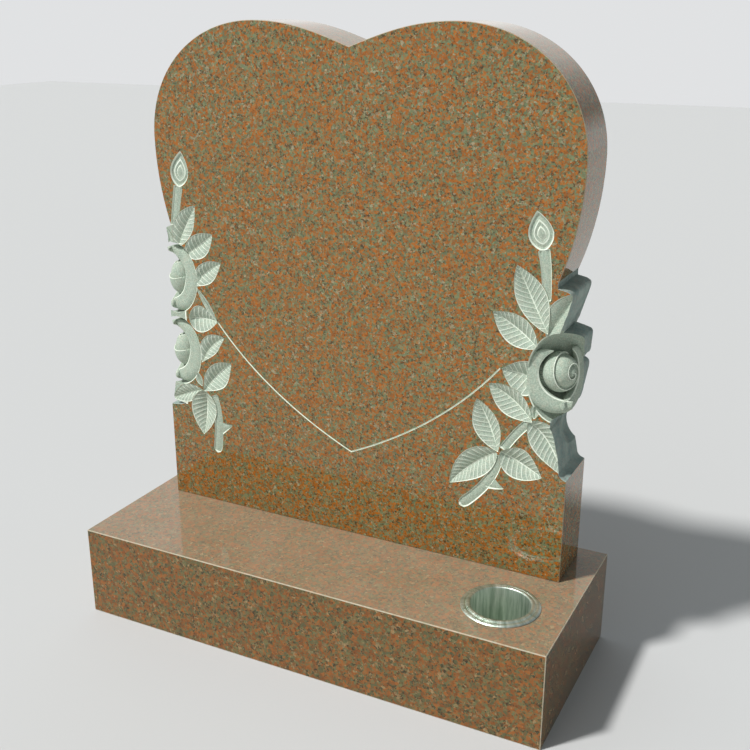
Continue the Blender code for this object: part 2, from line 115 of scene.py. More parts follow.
# Carving: depths below the polished face
FLARE = -0.0002
LEAF_RIM_DEPTH = 0.0012
LEAF_RIM_EDGE = 0.93
LEAF_VALLEY_SLOPE = 0.40
LEAF_SWELL = 0.0018
LEAF_FULLNESS = 0.85
VEIN_SPACING = 0.0085
VEIN_RISE = 0.0007
VEIN_FULLNESS = 0.4
VEIN_SLANT = 0.17
VEIN_ROWS = (0.0, 0.13, 0.30, 0.64, 0.85)
MIDRIB_HALF_WIDTH = 0.045
MIDRIB_RISE = 0.0012
MIDRIB_GROWTH = 2
FLOOR_GROWTH = 3
PLAIN_LEAVES = ("strip", "calyx", "edge_leaf")
LEAF_COLUMNS = (-1.0, -0.93, -0.78, -0.60, -0.42, -0.24, -0.10, -0.045, 0.0,
                0.045, 0.10, 0.24, 0.42, 0.60, 0.78, 0.93, 1.0)
STEM_COLUMNS = (-1.0, -0.80, -0.60, -0.3, 0.0, 0.3, 0.60, 0.80, 1.0)
STEM_ROWS = 40
STEM_GROOVE = 0.0032
STEM_CROWN = 0.0018
STEM_ROUND = 0.10
STEM_BLUNT = 0.0004
BUD_SEGMENTS = 56
BUD_RINGS = (1.0, 0.90, 0.80, 0.62, 0.53, 0.35, 0.27, 0.12, 0.0)
BUD_DEPTHS = (FLARE, 0.0022, 0.0040, 0.0028, 0.0024, 0.0034, 0.0022, 0.0014, 0.0012)
BUD_LINE_RINGS = (0, 3, 5)
BUD_CENTRE = 0.42
STANDOFF = 0.004
NUDGE = 0.001
TRIM_DEPTH = 0.040
BLADE_END_WIDTH = 0.0004
LINE_RADIUS = 0.0015
LINE_SINK = 0.0002
LINE_STEPS = 60

# Roses
BOWL_SEGMENTS = 72
BOWL_INSET = 0.017
BOWL_TURN = math.radians(45.0)
BOWL_RIM_RADIUS = 0.0018
BOWL_RIM_REACH = 0.080
BOWL_RIM_STEPS = 160
LIP_SEGMENTS = (36, 72)
LIP_BELLY = 1.3
BLOCK_SKIN = 0.0010
SIDE_LIP_DROP = 0.0012
PETAL_SEGMENTS = 128
PETAL_STEP = 0.13
PETAL_HOLLOW = 1.8
PETAL_FADE = 0.15
PETAL_SPREAD = 0.60
THREAD_START = 0.30
THREAD_STEPS = 140
THREAD_SEAT = 0.985
THREAD_RADIUS = 0.0009
LIP_EDGE = math.radians(-145.0)
LIP_EDGE_SHARP = 0.30
LIP_EDGE_SPAN = 0.35
LIP_LINE_SPAN = 0.15

# Material slots of the carved tablet, in order
POLISHED, FROSTED, PALE_LINE, HEWN, ARRIS = range(5)

# The sprays. Places are (inset from the tablet's side, height above its foot) in metres, and
# a leaf has its half widths to the left and right of the line from base to tip. Leaves are
# listed from the front one to the hindmost, and each is trimmed by those before it.
Leaf = namedtuple("Leaf", "name base tip left right bend belly")
Stem = namedtuple("Stem", "name start middle end width_start width_end")
Rose = namedtuple("Rose", "name height heart bowl lip wind")
Heart = namedtuple("Heart", "inset depth wide deep tall")
Bowl = namedtuple("Bowl", "rise wide deep tall")
Lip = namedtuple("Lip", "start end radius rise spread width fullness depth thickness reach")
Wind = namedtuple("Wind", "outwards upwards turn pitch turns")
Lobe = namedtuple("Lobe", "low high reach_low reach_high")
Spray = namedtuple("Spray", "side leaves stems thorn ground bud roses lobes cove_height")

RIGHT_LEAVES = (
    Leaf("crown_leaf", (0.046, 0.438), (0.102, 0.545), 0.022, 0.030, 0.004, 0.52),
    Leaf("upper_leaf", (0.062, 0.412), (0.139, 0.464), 0.025, 0.026, 0.000, 0.47),
    Leaf("edge_leaf", (0.048, 0.432), (0.006, 0.509), 0.022, 0.024, 0.000, 0.52),
    Leaf("middle_leaf", (0.064, 0.284), (0.142, 0.340), 0.026, 0.022, -0.003, 0.50),
    Leaf("sepal", (0.052, 0.352), (0.120, 0.369), 0.032, 0.030, 0.000, 0.40),
    Leaf("calyx", (0.061, 0.290), (0.060, 0.318), 0.008, 0.008, 0.000, 0.50),
    Leaf("corner_leaf", (0.070, 0.284), (0.008, 0.199), 0.030, 0.026, 0.006, 0.42),
    Leaf("rising_leaf", (0.121, 0.220), (0.162, 0.310), 0.026, 0.021, 0.000, 0.50),
    Leaf("low_leaf", (0.122, 0.218), (0.207, 0.145), 0.026, 0.028, -0.005, 0.42),
    Leaf("cross_leaf", (0.117, 0.220), (0.042, 0.188), 0.031, 0.027, -0.003, 0.42),
)
RIGHT_STEMS = (
    Stem("bud_stem", (0.060, 0.574), (0.052, 0.540), (0.051, 0.492), 0.020, 0.015),
    Stem("branch", (0.068, 0.283), (0.090, 0.262), (0.112, 0.226), 0.016, 0.016),
    Stem("stalk", (0.119, 0.214), (0.124, 0.160), (0.188, 0.106), 0.017, 0.021),
)
RIGHT_THORN = Stem("thorn", (0.136, 0.163), (0.124, 0.156), (0.108, 0.154), 0.032, 0.002)
RIGHT_BUD = Leaf("bud", (0.060, 0.571), (0.074, 0.634), 0.021, 0.021, 0.000, 0.42)
RIGHT_HEART = Heart(0.0330, 0.0330, 0.032, 0.032, 0.035)
RIGHT_BOWL = Bowl(-0.002, 0.072, 0.046, 0.079)
RIGHT_LIP = Lip(84.0, -133.0, 0.041, 0.0, 0.015, 0.0180, 0.60, 0.0135, 0.0120, 0.0775)
RIGHT_WIND = Wind(66.0, 6.0, 0.0, 20.0, 2.35)
RIGHT_ROSES = (Rose("rose", 0.367, RIGHT_HEART, RIGHT_BOWL, RIGHT_LIP, RIGHT_WIND),)
RIGHT_LOBES = (
    Lobe(0.430, 0.513, 0.004, 0.028),
    Lobe(0.378, 0.431, 0.030, 0.033),
    Lobe(0.290, 0.379, 0.018, 0.033),
    Lobe(0.184, 0.276, 0.024, 0.004),
)
RIGHT_SPRAY = Spray(1.0, RIGHT_LEAVES, RIGHT_STEMS, RIGHT_THORN, None, RIGHT_BUD, RIGHT_ROSES,
                    RIGHT_LOBES, RIGHT_COVE_HEIGHT)
LEFT_LEAVES = (
    Leaf("crown_leaf", (0.034, 0.505), (0.081, 0.589), 0.021, 0.023, -0.004, 0.48),
    Leaf("upper_leaf", (0.050, 0.493), (0.117, 0.539), 0.025, 0.020, 0.000, 0.48),
    Leaf("edge_leaf", (0.024, 0.490), (0.010, 0.546), 0.012, 0.010, 0.000, 0.50),
    Leaf("side_leaf", (0.065, 0.437), (0.133, 0.487), 0.023, 0.017, -0.005, 0.50),
    Leaf("strip", (0.074, 0.436), (0.119, 0.373), 0.006, 0.006, 0.000, 0.50),
    Leaf("sepal", (0.054, 0.372), (0.119, 0.373), 0.025, 0.028, 0.000, 0.38),
    Leaf("rising_leaf", (0.080, 0.229), (0.146, 0.294), 0.029, 0.020, -0.006, 0.50),
    Leaf("middle_leaf", (0.079, 0.288), (0.133, 0.343), 0.017, 0.021, -0.009, 0.50),
    Leaf("low_leaf", (0.080, 0.231), (0.074, 0.138), 0.030, 0.029, 0.000, 0.42),
    Leaf("corner_leaf", (0.077, 0.231), (0.004, 0.203), 0.021, 0.016, 0.000, 0.50),
    Leaf("calyx", (0.076, 0.238), (0.062, 0.268), 0.008, 0.008, 0.000, 0.50),
)
LEFT_STEMS = (
    Stem("bud_stem", (0.047, 0.622), (0.040, 0.586), (0.033, 0.548), 0.020, 0.017),
    Stem("stalk", (0.102, 0.224), (0.118, 0.180), (0.104, 0.104), 0.018, 0.021),
)
LEFT_GROUND = Stem("ground", (0.014, 0.197), (0.034, 0.370), (0.012, 0.556), 0.050, 0.050)
LEFT_THORN = Stem("thorn", (0.112, 0.158), (0.126, 0.162), (0.142, 0.168), 0.032, 0.002)
LEFT_BUD = Leaf("bud", (0.048, 0.620), (0.056, 0.686), 0.020, 0.020, 0.000, 0.42)
LEFT_HEART = Heart(0.0275, 0.0240, 0.0265, 0.0225, 0.035)
LEFT_BOWL = Bowl(0.004, 0.074, 0.0435, 0.070)
LEFT_LIP = Lip(114.0, -117.0, 0.0320, 0.030, 0.020, 0.0200, 0.45, 0.0135, 0.0120, 0.0830)
LEFT_WIND = Wind(60.0, 68.0, 90.0, 32.0, 1.75)
LEFT_ROSES = (
    Rose("upper_rose", 0.444, LEFT_HEART, LEFT_BOWL, LEFT_LIP, LEFT_WIND),
    Rose("lower_rose", 0.300, LEFT_HEART, LEFT_BOWL, LEFT_LIP, LEFT_WIND),
)
LEFT_LOBES = (
    Lobe(0.500, 0.548, 0.018, 0.022),
    Lobe(0.390, 0.508, 0.033, 0.033),
    Lobe(0.358, 0.394, 0.023, 0.023),
    Lobe(0.245, 0.362, 0.033, 0.033),
    Lobe(0.196, 0.248, 0.030, 0.020),
)
LEFT_SPRAY = Spray(-1.0, LEFT_LEAVES, LEFT_STEMS, LEFT_THORN, LEFT_GROUND, LEFT_BUD, LEFT_ROSES,
                   LEFT_LOBES, LEFT_COVE_HEIGHT)

# Node groups and materials

CLOUD_RANGE = (0.3, 0.7)
WANDER_SCALE = 180.0
WANDER_REACH = (0.004, 0.004, 0.004)
FINE_CRYSTALS = 2.3
DRIFT_SCALE = 9.0
DRIFT_SWING = 0.08
CLUSTER_SCALE = 75.0
CLUSTER_SWING = 0.27
CRYSTAL_LIGHT = (0.76, 1.26)

# The random numbers over which a crystal turns from one mineral to the next
TO_GREY_GREEN = (0.36, 0.50)
TO_BROWN = (0.76, 0.84)
TO_PALE = (0.93, 0.96)
FINE_TO_RUST = (0.30, 0.55)
FINE_TO_BROWN = (0.78, 0.86)
FINE_TO_PALE = (0.94, 0.97)
LARGE_TO_FINE = (0.35, 0.65, 0.1, 0.75)


class Tree:
    """A node tree with short calls to place nodes and join them."""

    def __init__(self, tree):
        self.tree = tree

    def add(self, kind, **values):
        node = self.tree.nodes.new(kind)
        for name, value in values.items():
            setattr(node, name, value)
        return node

    def feed(self, source, target):
        self.tree.links.new(source, target)

    def put(self, socket, value):
        """Joins a socket to a socket, or sets a plain value on it."""
        if isinstance(value, bpy.types.NodeSocket):
            self.feed(value, socket)
        else:
            socket.default_value = value

    def cells(self, place, scale):
        """Two random numbers for each crystal."""
        node = self.add("ShaderNodeTexVoronoi", feature="F1")
        self.feed(place, node.inputs["Vector"])
        self.put(node.inputs["Scale"], scale)
        split = self.add("ShaderNodeSeparateColor")
        self.feed(node.outputs["Color"], split.inputs["Color"])
        return split.outputs["Red"], split.outputs["Green"]

    def cloud(self, place, scale, detail=4.0, roughness=0.55):
        node = self.add("ShaderNodeTexNoise")
        self.feed(place, node.inputs["Vector"])
        self.put(node.inputs["Scale"], scale)
        node.inputs["Detail"].default_value = detail
        node.inputs["Roughness"].default_value = roughness
        return node.outputs["Fac"]

    def mix(self, share, first, second, blend="MIX"):
        node = self.add("ShaderNodeMix", data_type="RGBA", blend_type=blend)
        self.put(node.inputs["Factor"], share)
        self.put(node.inputs["A"], first)
        self.put(node.inputs["B"], second)
        return node.outputs["Result"]

    def number(self, operation, first, second=0.0):
        node = self.add("ShaderNodeMath", operation=operation)
        for socket, value in zip(node.inputs, (first, second)):
            self.put(socket, value)
        return node.outputs["Value"]

    def spread(self, value, low, high, to_low=0.0, to_high=1.0):
        """Stretches a value from one range over another, and stops at its ends."""
        node = self.add("ShaderNodeMapRange")
        self.put(node.inputs["Value"], value)
        for name, number in (("From Min", low), ("From Max", high),
                             ("To Min", to_low), ("To Max", to_high)):
            self.put(node.inputs[name], number)
        return node.outputs["Result"]


def shader_group(name, inputs, outputs):
    group = bpy.data.node_groups.new(name, "ShaderNodeTree")
    kinds = {"vector": "NodeSocketVector", "colour": "NodeSocketColor", "value": "NodeSocketFloat"}
    for label, kind in inputs:
        group.interface.new_socket(label, in_out="INPUT", socket_type=kinds[kind])
    for label, kind in outputs:
        group.interface.new_socket(label, in_out="OUTPUT", socket_type=kinds[kind])
    tree = Tree(group)
    return tree, tree.add("NodeGroupInput").outputs, tree.add("NodeGroupOutput").inputs


def granite_grain_group():
    """Crystals of four minerals, the small ones scattered over the large."""
    tree, given, result = shader_group(
        "granite grain",
        (("Place", "vector"), ("Crystals per metre", "value"), ("Rust", "colour"),
         ("Brown", "colour"), ("Grey green", "colour"), ("Pale", "colour")),
        (("Colour", "colour"),),
    )
    wander = tree.add("ShaderNodeTexNoise")
    tree.feed(given["Place"], wander.inputs["Vector"])
    wander.inputs["Scale"].default_value = WANDER_SCALE
    bent = tree.add("ShaderNodeVectorMath", operation="MULTIPLY_ADD")
    tree.feed(wander.outputs["Color"], bent.inputs[0])
    bent.inputs[1].default_value = WANDER_REACH
    tree.feed(given["Place"], bent.inputs[2])
    place = bent.outputs["Vector"]
    kind, shade = tree.cells(place, given["Crystals per metre"])
    fine_scale = tree.number("MULTIPLY", given["Crystals per metre"], FINE_CRYSTALS)
    fine_kind, fine_shade = tree.cells(place, fine_scale)
    drift = tree.cloud(given["Place"], DRIFT_SCALE, 3.0)
    kind = tree.number("ADD", kind, tree.spread(drift, *CLOUD_RANGE, -DRIFT_SWING, DRIFT_SWING))
    cluster = tree.cloud(given["Place"], CLUSTER_SCALE, 2.0)
    kind = tree.number("ADD", kind,
                       tree.spread(cluster, *CLOUD_RANGE, -CLUSTER_SWING, CLUSTER_SWING))
    colour = tree.mix(tree.spread(kind, *TO_GREY_GREEN), given["Rust"], given["Grey green"])
    colour = tree.mix(tree.spread(kind, *TO_BROWN), colour, given["Brown"])
    colour = tree.mix(tree.spread(kind, *TO_PALE), colour, given["Pale"])
    fine = tree.mix(tree.spread(fine_kind, *FINE_TO_RUST), given["Grey green"], given["Rust"])
    fine = tree.mix(tree.spread(fine_kind, *FINE_TO_BROWN), fine, given["Brown"])
    fine = tree.mix(tree.spread(fine_kind, *FINE_TO_PALE), fine, given["Pale"])
    colour = tree.mix(tree.spread(fine_shade, *LARGE_TO_FINE), colour, fine)
    light = tree.spread(shade, 0.0, 1.0, *CRYSTAL_LIGHT)
    tree.feed(tree.mix(1.0, colour, light, "MULTIPLY"), result["Colour"])
    return tree.tree


def stone_wear_group():
    """Soft blotches and pits that stand for frosting and tool marks, and break up the light
    painted on level faces.
    """
    tree, given, result = shader_group(
        "stone wear",
        (("Place", "vector"), ("Blotches per metre", "value"), ("Pits per metre", "value")),
        (("Blotch", "value"), ("Pit", "value")),
    )
    blotch = tree.cloud(given["Place"], given["Blotches per metre"], 5.0, 0.6)
    tree.feed(tree.spread(blotch, *CLOUD_RANGE), result["Blotch"])
    pit = tree.cloud(given["Place"], given["Pits per metre"], 3.0, 0.7)
    tree.feed(pit, result["Pit"])
    return tree.tree


GRANITE_GRAIN = granite_grain_group()
STONE_WEAR = stone_wear_group()


def new_material(name):
    material = bpy.data.materials.new(name)
    material.use_nodes = True
    tree = Tree(material.node_tree)
    shader = material.node_tree.nodes["Principled BSDF"]
    place = tree.add("ShaderNodeTexCoord").outputs["Object"]
    return material, tree, shader, place


def placed_group(tree, group, place, **values):
    node = tree.add("ShaderNodeGroup", node_tree=group)
    tree.feed(place, node.inputs["Place"])
    for name, value in values.items():
        tree.put(node.inputs[name.replace("_", " ")], value)
    return node.outputs


def roughen(tree, shader, height, strength, distance):
    bump = tree.add("ShaderNodeBump")
    bump.inputs["Strength"].default_value = strength
    bump.inputs["Distance"].default_value = distance
    tree.feed(height, bump.inputs["Height"])
    tree.feed(bump.outputs["Normal"], shader.inputs["Normal"])


def colour(red, green, blue):
    """A colour from its screen values, 0 to 255."""
    def linear(value):
        share = value / 255
        return share / 12.92 if share <= 0.04045 else ((share + 0.055) / 1.055) ** 2.4
    return linear(red), linear(green), linear(blue), 1.0


Minerals = namedtuple("Minerals", "rust brown grey_green pale")
TABLET_MINERALS = Minerals(colour(160, 90, 16), colour(72, 54, 24), colour(106, 119, 84),
                           colour(150, 142, 112))
BASE_MINERALS = Minerals(colour(138, 80, 28), colour(54, 50, 26), colour(96, 96, 60),
                         colour(142, 118, 80))
# Painted light: the pale colour that level faces are mixed towards, its share, and the upward
# facings it fades in over
PAINTED_TOP_LIGHT = colour(206, 190, 168)
PAINTED_TOP_LIGHT_SHARE = 0.28
LEVEL_FACES = (0.6, 0.95)
POLISH = (0.05, 0.10)
SPECKLE_SHARE = 0.55
FROSTED_GRAIN_SHARE = 0.14
HEWN_GRAIN_SHARE = 0.20


def stone_grain(tree, place, crystals, minerals=TABLET_MINERALS):
    """The colour of the granite's crystals, by how many there are to a metre."""
    grain = placed_group(tree, GRANITE_GRAIN, place, Crystals_per_metre=crystals,
                         Rust=minerals.rust, Brown=minerals.brown,
                         Grey_green=minerals.grey_green, Pale=minerals.pale)
    return grain["Colour"]


def stone_wear(tree, place, blotches, pits):
    """Masks of blotches and pits, by how many there are to a metre."""
    return placed_group(tree, STONE_WEAR, place, Blotches_per_metre=blotches,
                        Pits_per_metre=pits)


def polished_granite(name, crystals, minerals):
    """Mirror-polished stone, with painted light on its level faces: a blotchy pale film that makes
    the top lighter.
    """
    material, tree, shader, place = new_material(name)
    grain = stone_grain(tree, place, crystals, minerals)
    wear = stone_wear(tree, place, blotches=14.0, pits=500.0)
    facing = tree.add("ShaderNodeSeparateXYZ")
    tree.feed(tree.add("ShaderNodeNewGeometry").outputs["Normal"], facing.inputs["Vector"])
    # painted light: faces that look up are mixed towards a pale colour, more where the blotches
    # are
    top_light_mix = tree.number("MULTIPLY",
                       tree.spread(facing.outputs["Z"], *LEVEL_FACES, 0.0, PAINTED_TOP_LIGHT_SHARE),
                       tree.spread(wear["Blotch"], 0.0, 1.0, 0.85, 1.15))
    tree.feed(tree.mix(top_light_mix, grain, PAINTED_TOP_LIGHT), shader.inputs["Base Color"])
    tree.feed(tree.spread(wear["Blotch"], 0.0, 1.0, *POLISH), shader.inputs["Roughness"])
    roughen(tree, shader, wear["Pit"], strength=0.01, distance=0.0003)
    return material


def frosted_granite():
    """The carved stone: blasted grey-green, with the crystals only just showing."""
    material, tree, shader, place = new_material("frosted carving")
    grain = stone_grain(tree, place, crystals=210.0)
    wear = stone_wear(tree, place, blotches=60.0, pits=520.0)
    frost = tree.mix(wear["Blotch"], colour(154, 174, 156), colour(178, 196, 176))
    speckle = tree.mix(tree.spread(wear["Pit"], 0.40, 0.60), colour(136, 156, 142),
                       colour(210, 222, 206))
    frost = tree.mix(SPECKLE_SHARE, frost, speckle)
    tree.feed(tree.mix(FROSTED_GRAIN_SHARE, frost, grain), shader.inputs["Base Color"])
    shader.inputs["Roughness"].default_value = 0.82
    roughen(tree, shader, wear["Pit"], strength=0.35, distance=0.0008)
    return material


def pale_line():
    """Bruised white stone along the tool's lines."""
    material, tree, shader, place = new_material("pale tool line")
    wear = stone_wear(tree, place, blotches=90.0, pits=800.0)
    tree.feed(tree.mix(wear["Blotch"], colour(212, 222, 202), colour(236, 242, 228)),
              shader.inputs["Base Color"])
    shader.inputs["Roughness"].default_value = 0.85
    roughen(tree, shader, wear["Pit"], strength=0.3, distance=0.0006)
    return material


def hewn_granite():
    """The waist's sides: rough grey stone, tinted blue as painted shade lit by the sky."""
    material, tree, shader, place = new_material("hewn side")
    grain = stone_grain(tree, place, crystals=190.0)
    wear = stone_wear(tree, place, blotches=45.0, pits=240.0)
    # painted shade: the rough grey is tinted blue, the colour of the sides in the sky's shade
    grey = tree.mix(wear["Blotch"], colour(130, 156, 154), colour(176, 196, 188))
    tree.feed(tree.mix(HEWN_GRAIN_SHARE, grey, grain), shader.inputs["Base Color"])
    shader.inputs["Roughness"].default_value = 0.88
    roughen(tree, shader, wear["Pit"], strength=0.8, distance=0.0040)
    return material


def chipped_highlit_arris(name, stone_share):
    """The thin sharp edge between two polished faces, a little chipped, and painted pale as a
    highlight where the polished arris catches the light.
    """
    material, tree, shader, place = new_material(name)
    grain = stone_grain(tree, place, crystals=260.0)
    wear = stone_wear(tree, place, blotches=120.0, pits=600.0)
    # painted highlight: the arris is mixed towards pale colours, as a polished edge that catches
    # the light
    pale = tree.mix(wear["Blotch"], colour(196, 184, 156), colour(222, 216, 196))
    tree.feed(tree.mix(stone_share, pale, grain), shader.inputs["Base Color"])
    shader.inputs["Roughness"].default_value = 0.45
    roughen(tree, shader, wear["Pit"], strength=0.4, distance=0.0006)
    return material


def turned_steel():
    """Stainless steel with fine marks from spinning, and painted reflections down the wall:
    green-grey and near-white streaks in its colour.
    """
    material, tree, shader, place = new_material("turned steel")
    around = tree.add("ShaderNodeMapping")
    tree.feed(place, around.inputs["Vector"])
    around.inputs["Location"].default_value = (-VASE_X, -VASE_Y, 0.0)
    parts = tree.add("ShaderNodeSeparateXYZ")
    tree.feed(around.outputs["Vector"], parts.inputs["Vector"])
    turn = tree.number("ARCTAN2", parts.outputs["Y"], parts.outputs["X"])
    squares = [tree.number("MULTIPLY", parts.outputs[axis], parts.outputs[axis])
               for axis in ("X", "Y")]
    radius = tree.number("SQRT", tree.number("ADD", *squares))
    rings = tree.add("ShaderNodeCombineXYZ")
    tree.feed(tree.number("MULTIPLY", turn, 0.01), rings.inputs["X"])
    tree.feed(radius, rings.inputs["Y"])
    tree.feed(parts.outputs["Z"], rings.inputs["Z"])
    marks = tree.cloud(rings.outputs["Vector"], 1400.0, 2.0)
    streaks = tree.add("ShaderNodeCombineXYZ")
    tree.feed(turn, streaks.inputs["X"])
    tree.feed(tree.number("MULTIPLY", parts.outputs["Z"], 2.0), streaks.inputs["Z"])
    # painted reflection: vertical streaks that mix the steel's colour between green-grey and
    # near-white
    reflection_streaks = tree.cloud(streaks.outputs["Vector"], 7.0, 4.0, 0.6)
    tree.feed(tree.mix(tree.spread(reflection_streaks, 0.35, 0.65), colour(176, 194, 176),
                       colour(240, 246, 236)), shader.inputs["Base Color"])
    shader.inputs["Metallic"].default_value = 1.0
    tree.feed(tree.spread(marks, *CLOUD_RANGE, 0.36, 0.50), shader.inputs["Roughness"])
    roughen(tree, shader, marks, strength=0.08, distance=0.0003)
    return material


# Meshes

def shown_object(name, mesh, materials):
    thing = bpy.data.objects.new(name, mesh)
    bpy.context.scene.collection.objects.link(thing)
    for material in materials:
        mesh.materials.append(material)
    return thing


def mesh_from(bm, name):
    bm.normal_update()
    bmesh.ops.recalc_face_normals(bm, faces=bm.faces)
    mesh = bpy.data.meshes.new(name)
    bm.to_mesh(mesh)
    bm.free()
    return mesh


def workbench(name):
    group = bpy.data.collections.new(name)
    bpy.context.scene.collection.children.link(group)
    return group


def join_solid(thing, operation, operand):
    modifier = thing.modifiers.new(operation, "BOOLEAN")
    modifier.operation = operation
    modifier.solver = "MANIFOLD"
    modifier.material_mode = "TRANSFER"
    if isinstance(operand, bpy.types.Collection):
        modifier.operand_type = "COLLECTION"
        modifier.collection = operand
    else:
        modifier.object = operand


def settle(thing):
    """Applies the modifiers."""
    bpy.context.view_layer.update()
    graph = bpy.context.evaluated_depsgraph_get()
    mesh = bpy.data.meshes.new_from_object(thing.evaluated_get(graph))
    thing.modifiers.clear()
    thing.data = mesh


def clear_away(group):
    for thing in list(group.objects):
        bpy.data.objects.remove(thing, do_unlink=True)
    bpy.data.collections.remove(group)


def smooth_by_angle(mesh, degrees):
    """Smooth shading, but for steep edges and the edges where the finish changes."""
    mesh.shade_smooth()
    mesh.set_sharp_from_angle(angle=math.radians(degrees))
    bm = bmesh.new()
    bm.from_mesh(mesh)
    for edge in bm.edges:
        if len({face.material_index for face in edge.link_faces}) > 1:
            edge.smooth = False
    bm.to_mesh(mesh)
    bm.free()


# Heart outline

def bezier(points, t):
    s = 1.0 - t
    a, b, c, d = (Vector(point) for point in points)
    return a * s ** 3 + b * (3 * s * s * t) + c * (3 * s * t * t) + d * t ** 3


def crown_curves():
    notch = (0.0, NOTCH_HEIGHT)
    crest = (CREST_FROM_CENTRE, CREST_HEIGHT)
    rise = (notch, (NOTCH_HANDLE[0], NOTCH_HEIGHT + NOTCH_HANDLE[1]),
            (crest[0] - CREST_HANDLE_IN, CREST_HEIGHT), crest)
    turn = (crest, (crest[0] + CREST_HANDLE_OUT, CREST_HEIGHT),
            (HALF_WIDTH, WIDEST_HEIGHT + SIDE_HANDLE_UP), (HALF_WIDTH, WIDEST_HEIGHT))
    return rise, turn


def flank_curve():
    return ((HALF_WIDTH, WIDEST_HEIGHT), (HALF_WIDTH, WIDEST_HEIGHT - SIDE_HANDLE_DOWN),
            (POINT_HANDLE[0], POINT_HEIGHT + POINT_HANDLE[1]), (0.0, POINT_HEIGHT))


def flank_step(height):
    """How far along the flank its curve comes down to a height, from 0 to 1."""
    curve = flank_curve()
    low, high = 0.0, 1.0
    for _ in range(OUTLINE_HALVINGS):
        middle = (low + high) / 2
        if bezier(curve, middle).y > height:
            low = middle
        else:
            high = middle
    return low


def waist_reach(height, lobes, cove_height):
    """Distance from the centre to the outline that the leaves and roses give the waist."""
    reach = 0.0
    for lobe in lobes:
        share = (height - lobe.low) / (lobe.high - lobe.low)
        if 0.0 < share < 1.0:
            blunt_end = math.sqrt(1.0 - abs(2 * share - 1.0) ** LOBE_BLUNTNESS)
            slope = lobe.reach_low + (lobe.reach_high - lobe.reach_low) * share
            reach = max(reach, slope * blunt_end)
    rise = height - SHOULDER_HEIGHT
    if rise < cove_height:
        reach = max(reach, WAIST_INSET * (1.0 - math.sqrt(rise / cove_height)))
    return HALF_WIDTH - WAIST_INSET + reach


def side_outline(spray):
    """One half of the outline, as the right one, from the foot up to the notch, and the height
    where its waist ends."""
    points = [Vector((HALF_WIDTH, 0.0))]
    flank = flank_curve()
    height = SHOULDER_HEIGHT
    while True:
        heart_reach = bezier(flank, flank_step(height)).x
        reach = waist_reach(height, spray.lobes, spray.cove_height)
        if heart_reach > reach:
            break
        points.append(Vector((reach, height)))
        height += OUTLINE_STEP
    start = flank_step(height)
    for index in range(FLANK_STEPS):
        points.append(bezier(flank, start * (1.0 - index / FLANK_STEPS)))
    rise, turn = crown_curves()
    for index in range(TURN_STEPS):
        points.append(bezier(turn, 1.0 - index / TURN_STEPS))
    for index in range(RISE_STEPS):
        points.append(bezier(rise, 1.0 - index / RISE_STEPS))
    points.append(Vector((0.0, NOTCH_HEIGHT)))
    return points, height


def chisel(point, depth):
    """Moves a point of the waist's side inwards, as a chisel would."""
    rough = noise.noise(point * CHISEL_SCALE)
    rough += CHISEL_FINE_SHARE * noise.noise(point * CHISEL_SCALE * CHISEL_FINE_SCALE)
    cut = LEAST_SHRINK + depth * max(0.0, CHISEL_LEVEL + CHISEL_SWING * rough)
    point.x -= math.copysign(cut, point.x)


def drawn_back(bm):
    """Draws the front face back in layers: gives each layer's points, and the back face."""
    inner = THICKNESS - 2 * TABLET_ARRIS
    depths = [TABLET_ARRIS] + [inner / DEPTH_LAYERS] * DEPTH_LAYERS + [TABLET_ARRIS]
    cap = bm.faces[:]
    layers = []
    for depth in depths:
        drawn = bmesh.ops.extrude_face_region(bm, geom=cap)["geom"]
        if layers:
            bmesh.ops.delete(bm, geom=cap, context="FACES_ONLY")
        cap = [item for item in drawn if isinstance(item, bmesh.types.BMFace)]
        moved = [item for item in drawn if isinstance(item, bmesh.types.BMVert)]
        bmesh.ops.translate(bm, verts=moved, vec=(0.0, depth, 0.0))
        layers.append(moved)
    return layers, cap[0]


def tablet_blank(materials):
    """The uncarved stone, its outline drawn back through its thickness in layers."""
    right, right_top = side_outline(RIGHT_SPRAY)
    left, left_top = side_outline(LEFT_SPRAY)
    outline = right + [Vector((-point.x, point.y)) for point in reversed(left[:-1])]
    bm = bmesh.new()
    front_ring = [bm.verts.new((point.x, FRONT, FOOT + point.y)) for point in outline]
    loop = [bm.edges.new(pair) for pair in zip(front_ring, front_ring[1:] + front_ring[:1])]
    bmesh.ops.edgeloop_fill(bm, edges=loop)
    layers, back = drawn_back(bm)
    draw_in(front_ring, TABLET_ARRIS)
    draw_in([corner.vert for corner in back.loops], TABLET_ARRIS)
    top = {1: right_top, -1: left_top}
    for layer, ring in enumerate(layers[:-1]):
        chisel_depth = CHISEL_DEPTH if layer else 0.0
        for vertex in ring:
            side = 1 if vertex.co.x > 0 else -1
            height = vertex.co.z - FOOT
            if SHOULDER_HEIGHT + OUTLINE_STEP / 2 < height < top[side] - OUTLINE_STEP / 2:
                chisel(vertex.co, chisel_depth)
    bm.normal_update()
    bmesh.ops.recalc_face_normals(bm, faces=bm.faces)
    for item in bm.faces:
        middle = item.calc_center_median()
        side = 1 if middle.x > 0 else -1
        height = middle.z - FOOT
        on_side = abs(item.normal.y) < SIDE_FACING
        if on_side and min(middle.y - FRONT, FRONT + THICKNESS - middle.y) < TABLET_ARRIS:
            item.material_index = ARRIS
        in_waist = SHOULDER_HEIGHT - WAIST_MARGIN < height < top[side]
        if on_side and in_waist and abs(middle.x) > WAIST_LEAST_X:
            item.material_index = HEWN
    return shown_object("carved_tablet", mesh_from(bm, "carved_tablet"), materials)


